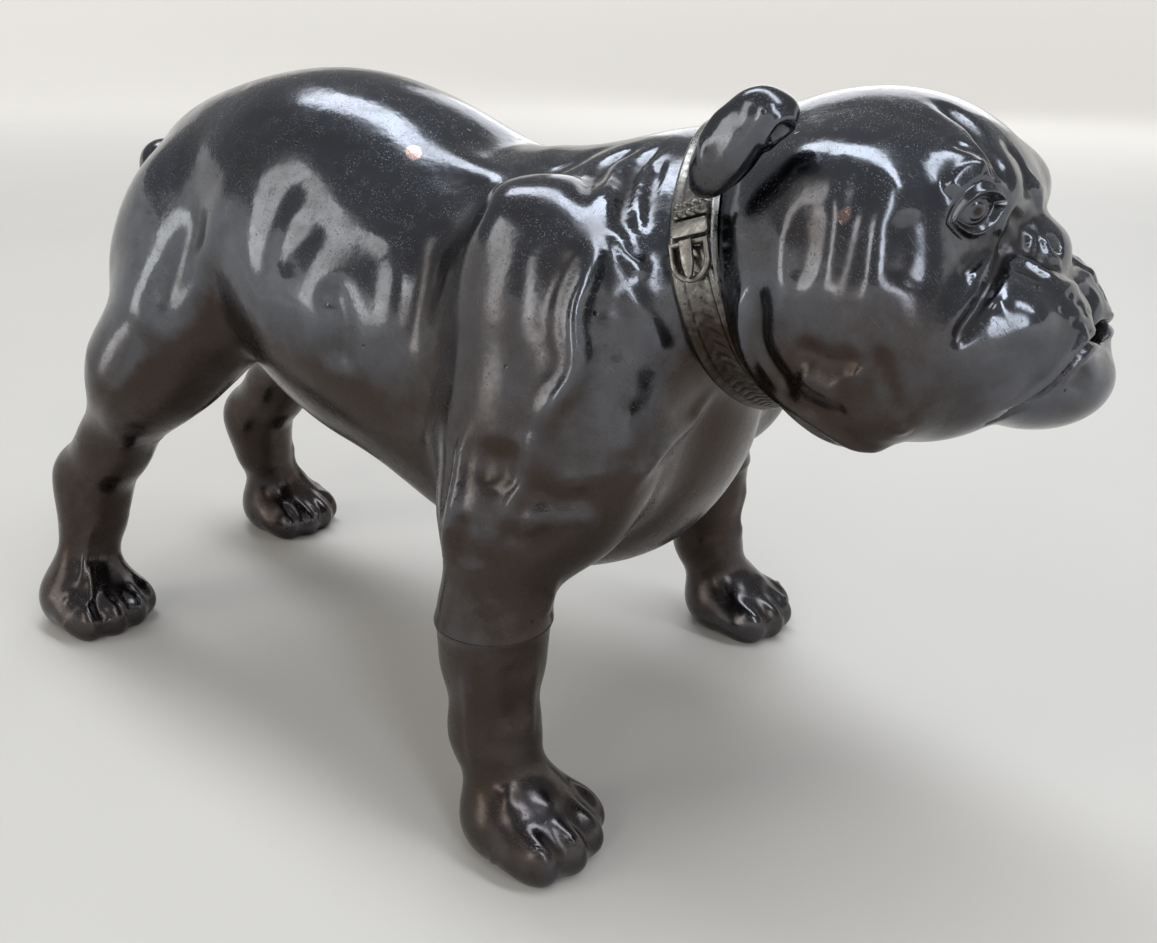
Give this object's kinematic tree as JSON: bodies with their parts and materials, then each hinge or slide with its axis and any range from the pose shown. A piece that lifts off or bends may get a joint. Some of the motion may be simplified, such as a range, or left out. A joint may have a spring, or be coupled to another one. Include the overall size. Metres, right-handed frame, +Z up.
{
  "type": "dog figurine",
  "caption": "Standing bulldog figurine in plated cast metal, hollow in the body and head, with a buckled collar, folded ears and a short tail.",
  "frame": {"origin": "middle of the figurine's footprint, on the plane under its soles", "axes": "+X towards the dog's nose, +Y towards the dog's left, +Z up"},
  "size_m": [0.1684, 0.0884, 0.0979],
  "materials": {
    "dark_plate": "dark tarnished silver plate, glossy, with soft mirror reflections, fine pits and brown blotches",
    "strap_plate": "tarnished silver plate, half dull, with raised braid and yellow-brown tarnish in the hollows",
    "buckle_plate": "tarnished silver plate, worn brighter on the edges",
    "sleeve_brass": "plain turned brass, hidden inside the neck"
  },
  "bodies": {
    "root": {"body_casting": "dark_plate", "head_casting": "dark_plate", "foreleg_right": "dark_plate", "foreleg_left": "dark_plate", "hind_leg_right": "dark_plate", "hind_leg_left": "dark_plate", "ear_right": "dark_plate", "ear_left": "dark_plate", "tail": "dark_plate", "neck_sleeve": "sleeve_brass", "collar_strap": "strap_plate", "buckle_frame": "buckle_plate", "buckle_tongue": "buckle_plate", "keeper_lower": "buckle_plate", "keeper_upper": "buckle_plate"}
  },
  "joints": []
}
